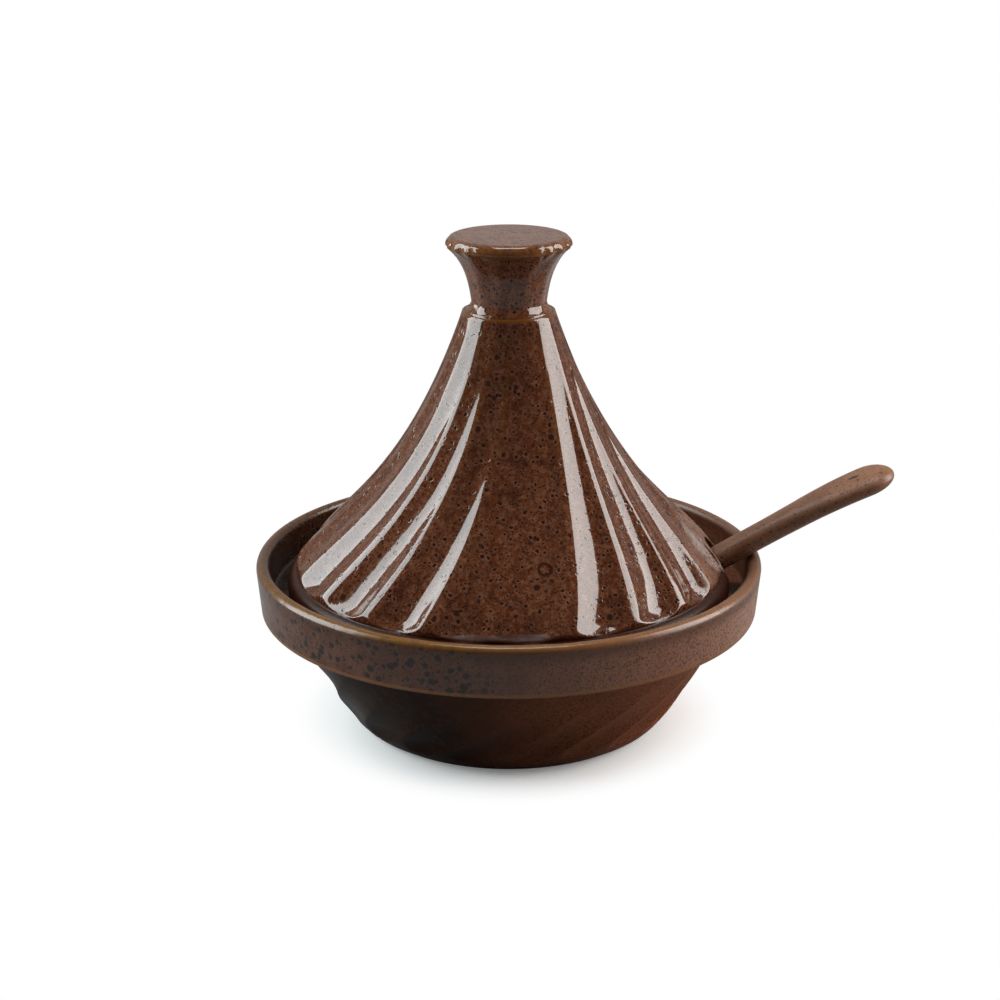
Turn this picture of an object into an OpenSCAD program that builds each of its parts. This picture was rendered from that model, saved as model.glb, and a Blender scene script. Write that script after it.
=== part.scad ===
// Small stoneware tagine: dish, fluted conical lid with a knob, and a spoon that leaves
// through a notch in the lid. Millimetres, +Z up, origin on the pot's axis under the foot.

/* [Dish] */
// Outer diameter of the dish at its rim
rim_d = 130; // [110:1:160]
// Height of the dish from the table to the top of its lip
dish_h = 43.6; // [38:0.2:54]
// Height of the plain band below the lip
band_h = 13.2; // [9:0.2:16]
// How much the band's lower edge is drawn in from the rim
band_taper = 1; // [0:0.1:2]
// Thickness of the band
band_wall = 3.4; // [2.5:0.1:5]
// Depth of the step under the band
step_w = 6.6; // [4:0.1:9]
// Radius of the two round edges of the lip
lip_round = 1.6; // [0.8:0.1:1.7]
// How far the ledge that carries the lid lies below the lip
ledge_drop = 9.6; // [6:0.2:11]
// Width of that ledge
ledge_w = 9.4; // [7:0.2:11]
// Wall of the bowl
bowl_wall = 4.6; // [3:0.1:5.5]
// Thickness of the floor above the recess under the foot
floor_t = 4; // [3:0.1:6]
// Corner radius between the floor and the bowl's wall
floor_round = 14; // [8:1:18]
// Diameter of the foot where it meets the table
foot_d = 76; // [60:1:90]
// Height of the plain foot below the flutes
foot_h = 1.3; // [0.8:0.1:3]
// How much the foot widens over its height
foot_flare = 1.8; // [0.5:0.1:3]
// Width of the ring that stands on the table
foot_ring_w = 5; // [3:0.5:9]
// Depth of the recess under the foot
foot_recess = 1.4; // [0.6:0.1:2.5]
// Fullness of the bowl's side: 1 is straight, less is rounder
bowl_bulge = 0.8; // [0.6:0.02:1]

/* [Flutes] */
// Number of swirled flutes round the lid and round the bowl
flutes = 20; // [12:1:28]
// Depth of the lid's flutes at their lower end
lid_flute_depth = 2.4; // [0.4:0.1:2.6]
// Turn of the lid's flutes for each millimetre of height, in degrees
lid_swirl = 0.35; // [0:0.05:1]
// Height of the flutes' round ends above the edge of the cone
lid_flute_end = 2; // [1:0.2:6]
// Length of those round ends
lid_flute_round = 5; // [2:0.5:10]
// Depth of the bowl's flutes at their deepest
bowl_flute_depth = 1.9; // [0.3:0.1:2.4]
// Turn of the bowl's flutes for each millimetre of height, in degrees
bowl_swirl = 1.5; // [0:0.1:2]
// Height of the bowl's flutes above the plain foot
bowl_flute_end = 1.6; // [1:0.2:5]
// Length of their round lower ends
bowl_flute_round = 6; // [2:0.5:10]

/* [Lid] */
// Gap between the lid's skirt and the dish's wall
lid_gap = 4.6; // [2:0.2:7]
// Gap between the lid and the ledge
seat_gap = 0.3; // [0.1:0.05:0.6]
// Height of the skirt from its lower edge to the cone
skirt_h = 6.1; // [5:0.1:9]
// Height of the upright part of the skirt
skirt_land = 2.7; // [1:0.1:3.5]
// How much the skirt is drawn in to meet the cone
skirt_step = 2.4; // [1:0.1:4]
// Height of the cone from the skirt to the shoulder
cone_h = 67.4; // [50:0.2:90]
// Radius of the shoulder under the neck
shoulder_r = 11.6; // [10.5:0.1:16]
// Wall of the lid
lid_wall = 5; // [4:0.1:6]
// Thickness of the solid top of the cone
lid_top_t = 10; // [6:0.5:20]

/* [Knob] */
// Height of the neck and knob above the shoulder
knob_h = 18.8; // [14:0.2:28]
// Height of the narrowest place above the shoulder
waist_h = 2.4; // [1.5:0.1:5]
// Radius at the narrowest place
waist_r = 9.5; // [7.5:0.1:10]
// Radius of the knob's rim
knob_r = 15.7; // [13.5:0.1:20]
// Radius of the knob's rounded edge
knob_round = 2.2; // [1.5:0.1:3.5]
// Width of the flat shoulder round the neck
shoulder_ledge = 0.8; // [0.2:0.1:1.2]
// Number of nicks round the knob's edge
knob_nicks = 28; // [16:2:40]
// Depth of those nicks
knob_nick_depth = 0.45; // [0.1:0.05:0.8]
// Depth of the shallow facets on the neck
neck_facet_depth = 0.3; // [0:0.05:0.6]

/* [Spoon] */
// Tilt of the handle from the level, in degrees
handle_tilt = 30.5; // [25:0.5:33]
// Length of the handle outside the rim
handle_out = 40.5; // [25:0.5:60]
// Width of the handle where it crosses the rim
handle_w = 9; // [7:0.2:10]
// Thickness of the handle where it crosses the rim
handle_t = 6; // [4:0.2:6.4]
// Width of the handle near its tip
tip_w = 14.5; // [9:0.2:18]
// Thickness of the handle near its tip
tip_t = 6.2; // [4:0.2:6.4]
// How far the tip droops
tip_droop = 2.3; // [0:0.1:3]
// Width of the neck above the scoop
neck_w = 8; // [6:0.2:9]
// Width of the scoop
scoop_w = 21; // [14:0.5:26]
// Length of the scoop
scoop_len = 30; // [22:1:36]
// Depth of the scoop's hollow
scoop_depth = 4.5; // [2:0.1:6]
// Thickness of the scoop
scoop_t = 3; // [2:0.1:4]
// Gap between the handle and the lip it lies on
rest_gap = 0.3; // [0.1:0.05:0.6]
// Gap between the handle and each side of the notch in the lid
notch_gap = 1.5; // [0.4:0.1:1.6]
// Gap between the handle and the top of the notch
notch_head = 2.6; // [0.6:0.1:3]

/* [Hidden] */

glaze = [0.31, 0.17, 0.11];
satin_glaze = [0.27, 0.17, 0.13];
spoon_glaze = [0.42, 0.27, 0.20];
round_fn = 96;
lip_fn = 48;
// How far one shape reaches into the next, and is set in from its edge, where they join
seam = 0.4;

// Dish: radii and heights that the pieces share
rim_r = rim_d / 2;
foot_r = foot_d / 2;
band_bottom = dish_h - band_h;
inner_r = rim_r - band_wall;
step_r = rim_r - band_taper - step_w;
bowl_foot_r = foot_r + foot_flare;
ledge_z = dish_h - ledge_drop;
floor_z = foot_recess + floor_t;
lip_z = dish_h - lip_round;

// Lid: heights of the seat, the cone's edge, the shoulder and the knob's top
seat_z = ledge_z + seat_gap;
skirt_r = inner_r - lid_gap;
edge_z = seat_z + skirt_h;
edge_r = skirt_r - skirt_step;
shoulder_z = edge_z + cone_h;
top_z = shoulder_z + knob_h;
waist_z = shoulder_z + waist_h;

// The cone's outline is one cubic curve from the shoulder to the edge. Its two handles are
// shares of the cone's own overhang and height, so that the flare keeps its shape. Over the
// last few millimetres the outline turns down to the edge.
overhang = edge_r - shoulder_r;
upper_pull = [0.37, 0.313];
lower_pull = [0.825, 0.216];
edge_drop = 1.6;
edge_drop_h = 3.2;
cone_curve = [
    [shoulder_r, shoulder_z],
    [shoulder_r + upper_pull[0] * overhang, edge_z + upper_pull[1] * cone_h],
    [shoulder_r + lower_pull[0] * overhang, edge_z + lower_pull[1] * cone_h],
    [edge_r + edge_drop, edge_z]
];

// Flutes
pitch = 360 / flutes;
lid_phase = 4;
lid_flute_growth = 1.1;
bowl_phase = 9;
facets_per_flute = 8;
cone_rows = 18;
row_crowding = 1.4;
bowl_facets_per_flute = 6;
bowl_rows = 10;
fade_margin = 1.5;
facets_per_nick = 4;

function bezier(p, t) =
    pow(1 - t, 3) * p[0] + 3 * t * pow(1 - t, 2) * p[1]
    + 3 * t * t * (1 - t) * p[2] + pow(t, 3) * p[3];

function quad_bezier(p, t) =
    pow(1 - t, 2) * p[0] + 2 * t * (1 - t) * p[1] + t * t * p[2];

function clamp01(v) = max(0, min(1, v));

function smooth(v) = let (c = clamp01(v)) c * c * (3 - 2 * c);

// Share of the way across a flute, 0 and 1 on the ridges beside it
function across(a, z, z0, phase, swirl) =
    let (turns = (a - phase - swirl * (z - z0)) / pitch) turns - floor(turns);

// Hollow of one flute: 1 along its middle, 0 on its ridges and beyond its round end.
// e is 0 in the open flute and rises to 1 at the tip of the round end.
function hollow(u, e) = max(0, 1 - pow(2 * u - 1, 2) - e * e);

// A closed skin through rings of points, listed from the top down, with flat ends
module skin(rings) {
    n = len(rings[0]);
    m = len(rings);
    polyhedron(
        points = [for (ring = rings) for (p = ring) p],
        faces = concat(
            [[for (i = [n - 1 : -1 : 0]) i]],
            [for (j = [0 : m - 2]) for (i = [0 : n - 1])
                [j * n + i, j * n + (i + 1) % n, (j + 1) * n + i]],
            [for (j = [0 : m - 2]) for (i = [0 : n - 1])
                [j * n + (i + 1) % n, (j + 1) * n + (i + 1) % n, (j + 1) * n + i]],
            [[for (i = [0 : n - 1]) (m - 1) * n + i]]
        )
    );
}

// ---- Dish ----

function bowl_r(z) =
    bowl_foot_r
    + (step_r - bowl_foot_r) * pow(clamp01((z - foot_h) / (band_bottom - foot_h)), bowl_bulge);

function bowl_flute(a, z) =
    let (
        u = across(a, z, foot_h, bowl_phase, bowl_swirl),
        end_z = foot_h + bowl_flute_end,
        e = clamp01((end_z + bowl_flute_round - z) / bowl_flute_round),
        fade = 1 - smooth((z - end_z) / (band_bottom - end_z - fade_margin))
    )
    bowl_flute_depth * fade * hollow(u, e);

module bowl_skin() {
    n = flutes * bowl_facets_per_flute;
    skin([for (j = [bowl_rows : -1 : 0])
        let (z = foot_h + (band_bottom - foot_h) * pow(j / bowl_rows, row_crowding))
        [for (i = [0 : n - 1])
            let (
                a = bowl_phase + bowl_swirl * (z - foot_h) + i * 360 / n,
                r = bowl_r(z) - bowl_flute(a, z)
            )
            [r * cos(a), r * sin(a), z]]]);
}

// The band with its round lip; the lip's two edges are arcs
module band() {
    rotate_extrude($fn = round_fn)
        union() {
            polygon([
                [0, band_bottom],
                [rim_r - band_taper, band_bottom],
                [rim_r, lip_z],
                [rim_r - lip_round, lip_z],
                [rim_r - lip_round, dish_h],
                [0, dish_h]
            ]);
            translate([rim_r - lip_round, lip_z])
                circle(r = lip_round, $fn = lip_fn);
        }
}

// Everything that is open inside the dish: above the ledge, and the bowl below it
module dish_inside() {
    steps = 8;
    corner_z = floor_z + 0.6 * floor_round;
    side = [for (k = [0 : steps])
        let (
            z = ledge_z - k * (ledge_z - corner_z) / steps,
            slope = (bowl_r(z + 1) - bowl_r(z - 1)) / 2,
            r = bowl_r(z) - bowl_wall * sqrt(1 + slope * slope)
        )
        [min(r, inner_r - ledge_w), z]];
    low = side[steps];
    bend = [low, [low[0] - 0.35 * floor_round, floor_z], [low[0] - floor_round, floor_z]];
    corner = [for (k = [1 : steps]) quad_bezier(bend, k / steps)];
    rotate_extrude($fn = round_fn)
        union() {
            polygon(concat(
                [[0, lip_z], [inner_r, lip_z], [inner_r, ledge_z]], side, corner, [[0, floor_z]]
            ));
            difference() {
                translate([0, lip_z])
                    square([inner_r + lip_round, 2 * lip_round]);
                translate([inner_r + lip_round, lip_z])
                    circle(r = lip_round, $fn = lip_fn);
            }
        }
}

module foot() {
    top_r = bowl_foot_r - seam;
    rotate_extrude($fn = round_fn)
        polygon([
            [0, 0], [foot_r, 0], [top_r, foot_h], [top_r, foot_h + seam], [0, foot_h + seam]
        ]);
}

module dish() {
    color(satin_glaze)
        difference() {
            union() {
                foot();
                bowl_skin();
                band();
            }
            dish_inside();
            translate([0, 0, -foot_recess])
                cylinder(r = foot_r - foot_ring_w, h = 2 * foot_recess, $fn = round_fn);
        }
}

// ---- Lid ----

function cone_flute(a, r, z) =
    let (
        u = across(a, z, edge_z, lid_phase, lid_swirl),
        end_z = edge_z + lid_flute_end,
        e = clamp01((end_z + lid_flute_round - z) / lid_flute_round),
        share = clamp01((r - shoulder_r) / overhang)
    )
    lid_flute_depth * pow(share, lid_flute_growth) * hollow(u, e);

// The cone's last ring lies inside the skirt
module cone_skin() {
    n = flutes * facets_per_flute;
    skin([for (j = [0 : cone_rows])
        let (
            p = bezier(cone_curve, 1 - pow(1 - j / cone_rows, row_crowding)),
            z = j < cone_rows ? p[1] : edge_z - seam,
            drop = edge_drop * pow(1 - clamp01((z - edge_z) / edge_drop_h), 2)
        )
        [for (i = [0 : n - 1])
            let (
                a = lid_phase + lid_swirl * (z - edge_z) + i * 360 / n,
                r = p[0] - drop - cone_flute(a, p[0], z)
            )
            [r * cos(a), r * sin(a), z]]]);
}

// Outline of the neck and knob, from the shoulder up: neck foot, flank, round edge
knob_lip_z = top_z - knob_round;
knob_outline = concat(
    [for (k = [0 : 3])
        quad_bezier([
            [shoulder_r - shoulder_ledge, shoulder_z],
            [waist_r + 0.3, shoulder_z + 0.55 * waist_h],
            [waist_r, waist_z]
        ], k / 3)],
    [for (k = [1 : 6])
        bezier([
            [waist_r, waist_z],
            [waist_r + 0.7, waist_z + 0.36 * (knob_lip_z - waist_z)],
            [waist_r + 1.8, waist_z + 0.72 * (knob_lip_z - waist_z)],
            [knob_r, knob_lip_z]
        ], k / 6)],
    [for (k = [1 : 4])
        let (a = 90 * k / 4)
        [knob_r - knob_round + knob_round * cos(a), knob_lip_z + knob_round * sin(a)]]
);

// Nicks round the knob's edge, and half as many shallow facets on the neck below it
function knob_cut(a, z) =
    let (
        nick = (1 - cos(knob_nicks * a)) / 2,
        facet = (1 - cos(knob_nicks / 2 * a)) / 2,
        near_edge = clamp01(1 - abs(z - knob_lip_z) / knob_round),
        on_neck = z < knob_lip_z ? smooth((z - shoulder_z) / waist_h) * (1 - near_edge) : 0
    )
    knob_nick_depth * near_edge * nick + neck_facet_depth * on_neck * facet;

module knob_skin() {
    n = knob_nicks * facets_per_nick;
    last = len(knob_outline) - 1;
    skin([for (k = [last : -1 : 0])
        let (p = knob_outline[k])
        [for (i = [0 : n - 1])
            let (a = i * 360 / n, r = p[0] - knob_cut(a, p[1]))
            [r * cos(a), r * sin(a), p[1]]]]);
}

module skirt() {
    steps = 6;
    edge_soft = 0.6;
    bend = [
        [skirt_r, seat_z + skirt_land], [skirt_r, edge_z - edge_soft], [edge_r + seam, edge_z]
    ];
    curve = [for (k = [0 : steps]) quad_bezier(bend, k / steps)];
    rotate_extrude($fn = round_fn)
        polygon(concat(
            [[0, seat_z], [skirt_r - edge_soft, seat_z], [skirt_r, seat_z + edge_soft]],
            curve,
            [[0, edge_z]]
        ));
}

// The lid's hollow keeps one wall thickness under the cone's outline
module lid_inside() {
    steps = 14;
    wall_in = [for (k = [0 : steps])
        let (
            t = k / steps,
            p = bezier(cone_curve, t),
            q = bezier(cone_curve, t + 0.01),
            d = (q - p) / norm(q - p)
        )
        [p[0] + lid_wall * d[1], p[1] - lid_wall * d[0]]];
    roof_z = shoulder_z - lid_top_t;
    kept = [for (p = wall_in) if (p[1] < roof_z && p[1] > edge_z) p];
    mouth_r = skirt_r - lid_wall;
    rotate_extrude($fn = round_fn)
        polygon(concat(
            [[0, roof_z], [kept[0][0], roof_z]],
            kept,
            [[min(mouth_r, edge_r - lid_wall + 1), edge_z], [mouth_r, edge_z - 2],
                [mouth_r, seat_z - 1], [0, seat_z - 1]]
        ));
}

// Opening for the handle, along the handle's own axis and open below
module notch() {
    w = handle_w + 2 * notch_gap;
    top = handle_t / 2 + notch_head;
    corner = 2;
    deep = band_wall / 2 + lid_gap + lid_wall + 10;
    translate([rest_x, 0, rest_z])
        rotate([0, 90 - handle_tilt, 0])
            translate([0, 0, -deep])
                rotate([0, 0, 90])
                    linear_extrude(height = deep - band_wall / 2)
                        union() {
                            translate([-w / 2, -deep])
                                square([w, deep + top - corner]);
                            translate([-w / 2 + corner, -deep])
                                square([w - 2 * corner, deep + top]);
                            for (s = [-1, 1])
                                translate([s * (w / 2 - corner), top - corner])
                                    circle(r = corner, $fn = 32);
                        }
}

module lid() {
    color(glaze)
        difference() {
            union() {
                skirt();
                cone_skin();
                knob_skin();
            }
            lid_inside();
            notch();
        }
}

// ---- Spoon ----

// The handle lies on the middle of the lip
rest_x = rim_r - band_wall / 2;
rest_z = dish_h + rest_gap + handle_t / 2 / cos(handle_tilt);

bend_len = 25;
tail_len = 16;
tail_rise = 2;
tip_len = 26;
section_sides = 20;
handle_steps = 13;
scoop_steps = 17;

// One section: an oval, w wide and t thick, square to the line's slope. cup bows it
// down in the middle, which makes the scoop's hollow.
function section(p, slope, w, t, cup) =
    [for (i = [0 : section_sides - 1])
        let (
            a = i * 360 / section_sides,
            y = w / 2 * sign(cos(a)) * pow(abs(cos(a)), 0.8),
            v = t / 2 * sign(sin(a)) * pow(abs(sin(a)), 0.9) - cup * (1 - pow(2 * y / w, 2))
        )
        [p[0] - v * sin(slope), y, p[1] + v * cos(slope)]];

// Middle line of the inner end: the handle's straight line, then a bend into the scoop.
// level is the height of the corner of the bend.
function bend_line(level) =
    let (x = rest_x - (rest_z - level) / tan(handle_tilt))
    [
        [x + bend_len * cos(handle_tilt), level + bend_len * sin(handle_tilt)],
        [x, level],
        [x - tail_len, level + tail_rise]
    ];

function scoop_section(line, s) =
    let (
        p = quad_bezier(line, s),
        q = quad_bezier(line, s + 0.01),
        slope = atan2(p[1] - q[1], p[0] - q[0]),
        run = norm(line[0] - line[1]) + norm(line[1] - line[2]),
        u = clamp01(1 - (1 - s) * run / scoop_len),
        swell = pow(max(0, sin(180 * pow(u, 0.8))), 0.6),
        w = neck_w * (1 - smooth(u * 3)) + scoop_w * swell,
        t = (handle_t + (scoop_t - handle_t) * smooth(u * 2.5)) * (1 - 4 * max(0, u - 0.9))
    )
    section(p, slope, max(1.2, w), t, scoop_depth * swell * smooth(u * 2));

function scoop_rings(level) =
    let (line = bend_line(level))
    [for (k = [1 : scoop_steps]) scoop_section(line, k / scoop_steps)];

function lowest(rings) = min([for (ring = rings) for (p = ring) p[2]]);

// The bend is lowered until the scoop lies on the floor
first_level = floor_z + scoop_depth;
scoop_level = first_level - lowest(scoop_rings(first_level)) + floor_z + rest_gap;
bend_start = bend_line(scoop_level)[0];
handle_len = (rest_x - bend_start[0]) / cos(handle_tilt) + handle_out;

// s runs from the tip, 0, to the start of the bend, 1
function handle_section(s) =
    let (
        from_tip = handle_len * s,
        out = handle_out - from_tip,
        round_end = sqrt(1 - pow(1 - clamp01(from_tip / (tip_w * 0.55)), 2)),
        wide = smooth(out / (handle_out * 0.85)),
        slim = smooth(-out / (handle_len - handle_out)),
        w = handle_w + (tip_w - handle_w) * wide + (neck_w - handle_w) * slim,
        t = handle_t + (tip_t - handle_t) * wide,
        droop = tip_droop * pow(clamp01(1 - from_tip / tip_len), 2)
    )
    section(
        [rest_x + out * cos(handle_tilt), rest_z + out * sin(handle_tilt) - droop],
        handle_tilt, max(0.8, w * round_end), max(0.8, t * round_end), 0);

module spoon() {
    color(spoon_glaze)
        skin(concat(
            [for (k = [0 : handle_steps]) handle_section(pow(k / handle_steps, 1.5))],
            scoop_rings(scoop_level)
        ));
}

dish();
lid();
spoon();
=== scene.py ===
"""A small glazed stoneware tagine: a fluted lid, a stepped dish and a spoon."""

import math

import bpy
import numpy as np
from mathutils import Matrix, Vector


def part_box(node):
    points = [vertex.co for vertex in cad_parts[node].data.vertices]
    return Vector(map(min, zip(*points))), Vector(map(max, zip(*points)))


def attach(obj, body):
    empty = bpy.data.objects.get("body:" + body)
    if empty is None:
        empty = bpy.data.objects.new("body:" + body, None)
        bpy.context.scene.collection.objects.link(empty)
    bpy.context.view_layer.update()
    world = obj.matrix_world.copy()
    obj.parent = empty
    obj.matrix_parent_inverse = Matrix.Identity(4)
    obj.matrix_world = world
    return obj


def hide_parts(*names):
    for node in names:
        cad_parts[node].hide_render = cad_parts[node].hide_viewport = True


MM = 0.001

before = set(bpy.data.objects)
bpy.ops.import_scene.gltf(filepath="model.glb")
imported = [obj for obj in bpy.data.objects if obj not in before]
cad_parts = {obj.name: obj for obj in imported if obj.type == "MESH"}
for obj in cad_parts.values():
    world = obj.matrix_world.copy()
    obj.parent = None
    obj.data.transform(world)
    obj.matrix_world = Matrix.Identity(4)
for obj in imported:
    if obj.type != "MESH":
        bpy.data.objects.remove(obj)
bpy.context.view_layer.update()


# ---------------------------------------------------------------- sizes, in mm
# The pieces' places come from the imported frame; the rest repeats the potter's own sizes.


def node_box(node):
    """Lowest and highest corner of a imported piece, in mm."""
    low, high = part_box(node)
    return [v / MM for v in low], [v / MM for v in high]


DISH_HIGH = node_box("dish")[1]
LID_LOW, LID_HIGH = node_box("lid")

RIM_R = DISH_HIGH[0]
DISH_H = DISH_HIGH[2]
BAND_H = 13.2
BAND_TAPER = 1.0
BAND_WALL = 3.4
BAND_CORNER_R = 0.9
STEP_W = 6.6
LIP_R = BAND_WALL / 2
LEDGE_DROP = 9.6
LEDGE_W = 9.4
BOWL_WALL = 4.6
FLOOR_T = 4.0
FLOOR_ROUND = 14.0
FOOT_R = 38.0
FOOT_H = 1.3
FOOT_FLARE = 1.8
FOOT_RING_W = 5.0
FOOT_RECESS = 1.4
BOWL_BULGE = 0.8

FLUTES = 20
COLUMNS_PER_FLUTE = 32
LID_FLUTE_DEPTH = 3.0
LID_FLUTE_GROWTH = 0.65
LID_PHASE = 13.7
LID_SWIRL = 0.445
LID_SWIRL_EASE = -0.001
LID_FLUTE_END = 0.2
LID_FLUTE_ROUND = 2.6
LID_VALLEY = 0.6
LID_WALL_CURVE = 0.8
LID_RIDGE_ROUND = 0.2
LID_HOLLOW_SOFT = 0.03
LOW_RIDGE = 14
LOW_RIDGE_HEIGHT = 0.35
BOWL_FLUTE_DEPTH = 1.9
BOWL_PHASE = 9.0
BOWL_SWIRL = 1.5
BOWL_FLUTE_END = 1.6
BOWL_FLUTE_ROUND = 6.0
BOWL_HOLLOW_SOFT = 0.14
WAVER = 0.05

SKIRT_H = 6.1
SKIRT_LAND = 2.7
SKIRT_STEP = 2.4
SHOULDER_R = 11.6
RIDGE_THIN = 0.25
LID_WALL = 5.0
LID_TOP_T = 10.0
KNOB_H = 18.8
WAIST_H = 2.4
WAIST_R = 9.5
KNOB_R = 15.7
KNOB_ROUND = 2.2
KNOB_NICKS = 22
KNOB_NICK_DEPTH = 0.6
NECK_FACET_DEPTH = 0.3
SHOULDER_LEDGE = 0.8

HANDLE_TILT = math.radians(30.5)
HANDLE_OUT = 40.5
HANDLE_W = 9.0
HANDLE_T = 6.0
TIP_W = 14.5
TIP_T = 6.2
TIP_DROOP = 2.3
DROOP_REACH = 26.0
BEND_UP = 25.0
BEND_IN = 16.0
NECK_W = 8.0
SCOOP_W = 21.0
SCOOP_LEN = 30.0
SCOOP_DEPTH = 4.5
SCOOP_T = 3.0
SEAT_GAP = 0.3
NOTCH_GAP = 1.5
NOTCH_HEAD = 2.6
NOTCH_REACH = 24.0

# Beside the notch the lid's columns stand upright, up to this height, and for so many
# degrees from its middle before they ease into the swirl
UPRIGHT_H = 14.0
UPRIGHT_SIDE = 9.0
UPRIGHT_EASE = 40.0

INNER_R = RIM_R - BAND_WALL
LIP_Z = DISH_H - LIP_R
BAND_BOTTOM = DISH_H - BAND_H
STEP_R = RIM_R - BAND_TAPER - STEP_W
BOWL_FOOT_R = FOOT_R + FOOT_FLARE
LEDGE_Z = DISH_H - LEDGE_DROP
FLOOR_Z = FOOT_RECESS + FLOOR_T

SEAT_Z = LID_LOW[2]
SKIRT_R = LID_HIGH[1]
TOP_Z = LID_HIGH[2]
EDGE_Z = SEAT_Z + SKIRT_H
EDGE_R = SKIRT_R - SKIRT_STEP
SHOULDER_Z = TOP_Z - KNOB_H
CONE_H = SHOULDER_Z - EDGE_Z
OVERHANG = EDGE_R - SHOULDER_R
WAIST_Z = SHOULDER_Z + WAIST_H
KNOB_LIP_Z = TOP_Z - KNOB_ROUND

REST_X = RIM_R - BAND_WALL / 2
REST_Z = DISH_H + SEAT_GAP + HANDLE_T / 2 / math.cos(HANDLE_TILT)

# Marks that the firing has left: a burst bubble in front on the lid, and a pit near the spoon's tip
BUBBLE = (8.7, -41.8, 54.6)
BUBBLE_R = 1.7
SPOON_PIT = (87.8, -1.8, 64.5)


# ---------------------------------------------------------------- curves


def bezier(points, count):
    """count points along the Bezier curve with these 3 or 4 control points."""
    t = np.linspace(0, 1, count)[:, None]
    p = np.array(points, float)
    if len(p) == 3:
        return (1 - t) ** 2 * p[0] + 2 * t * (1 - t) * p[1] + t**2 * p[2]
    return (
        (1 - t) ** 3 * p[0]
        + 3 * t * (1 - t) ** 2 * p[1]
        + 3 * t**2 * (1 - t) * p[2]
        + t**3 * p[3]
    )


def arc(centre, radius, start, end, count):
    """count points on an arc, from start to end in degrees."""
    a = np.radians(np.linspace(start, end, count))
    return np.stack([centre[0] + radius * np.cos(a), centre[1] + radius * np.sin(a)], 1)


def line(a, b, count):
    """count points from a to b."""
    t = np.linspace(0, 1, count)[:, None]
    return (1 - t) * np.array(a, float) + t * np.array(b, float)


def join(*parts):
    """One outline from several; a point shared by two neighbours is kept once."""
    out = [parts[0]]
    for part in parts[1:]:
        same = np.allclose(out[-1][-1], part[0], atol=1e-6)
        out.append(part[1:] if same else part)
    return np.concatenate(out)


def smooth(v):
    """0 below 0, 1 above 1, and an easy step between."""
    c = np.clip(v, 0, 1)
    return c * c * (3 - 2 * c)


def bump_at(v, centre, width):
    """A soft hill of height 1 at centre."""
    return np.exp(-(((v - centre) / width) ** 2))


# ---------------------------------------------------------------- flutes


def flute_columns(phase):
    """Angles of the columns round a fluted piece, closer together on its ridges."""
    even = np.arange(FLUTES * COLUMNS_PER_FLUTE) / COLUMNS_PER_FLUTE
    turns = even - 0.6 * np.sin(2 * math.pi * even) / (2 * math.pi)
    return phase + turns * 360 / FLUTES


def across(angle, phase):
    """How far across its flute each column lies, from ridge 0 to ridge 1, and which flute."""
    turns = (angle - phase) / (360 / FLUTES)
    return turns - np.floor(turns), np.floor(turns).astype(int) % FLUTES


def wall_rise(x, curve, ridge_round):
    """Rise of a flute's wall, from 0 along its middle to 1 on its rounded ridge."""
    t = np.linspace(0, 1, 200)
    slope = t**curve * (1 - np.exp(-(((1 - t) / ridge_round) ** 2)))
    rise = np.concatenate([[0], np.cumsum(slope[1:] + slope[:-1])])
    return np.interp(x, t, rise / rise[-1])


def hollow(rise, e, softness):
    """Hollow of a flute, 1 where its wall hasn't risen; softness rounds its end."""
    open_part = np.maximum(1 - rise - e**2, 0)
    return np.sqrt(open_part**2 + softness**2) - softness


def by_hand(index, seed, spread):
    """A factor near 1 for each flute, because no two are cut quite alike."""
    rng = np.random.default_rng(seed)
    return (1 + spread * rng.uniform(-1, 1, FLUTES))[index]


def waver(angle, z, seed, size):
    """Slow unevenness of a hand-finished wall, in mm."""
    rng = np.random.default_rng(seed)
    out = np.zeros(np.broadcast(angle, z).shape)
    for turns in (2, 3, 5, 8, 13):
        start, climb = rng.uniform(0, 2 * math.pi), rng.uniform(-0.12, 0.12)
        out += np.sin(turns * np.radians(angle) + climb * z + start) / turns**0.6
    return size * out / 2


# ---------------------------------------------------------------- meshes


def add_object(name, verts, faces, thin=None):
    """A smooth-shaded mesh object from points in mm, with its thin-glaze attribute."""
    mesh = bpy.data.meshes.new(name)
    mesh.from_pydata((verts * MM).tolist(), [], faces)
    mesh.validate()
    mesh.update()
    mesh.shade_smooth()
    if thin is not None:
        attribute = mesh.attributes.new("thin_glaze", "FLOAT", "POINT")
        attribute.data.foreach_set("value", thin.astype(np.float32))
    obj = bpy.data.objects.new(name, mesh)
    bpy.context.scene.collection.objects.link(obj)
    return obj


def turned(name, r, z, angle, thin):
    """A closed body from rings: row 0 and the last row close on the axis.

    r, z, angle and thin are arrays of rows by columns, with angle in degrees.
    """
    rows, cols = r.shape
    a = np.radians(angle)
    x = r * np.cos(a)
    y = r * np.sin(a)
    inner = np.stack([x, y, z], 2)[1:-1].reshape(-1, 3)
    top = np.array([[0, 0, z[0].mean()]])
    bottom = np.array([[0, 0, z[-1].mean()]])
    verts = np.concatenate([inner, top, bottom])
    thin_points = np.concatenate([thin[1:-1].ravel(), [thin[0].mean(), thin[-1].mean()]])
    top_i = (rows - 2) * cols
    faces = []
    for i in range(cols):
        j = (i + 1) % cols
        faces.append((top_i, i, j))
        last = (rows - 3) * cols
        faces.append((top_i + 1, last + j, last + i))
    for k in range(rows - 3):
        base = k * cols
        for i in range(cols):
            j = (i + 1) % cols
            faces.append((base + i, base + cols + i, base + cols + j, base + j))
    return add_object(name, verts, faces, thin_points)


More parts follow.
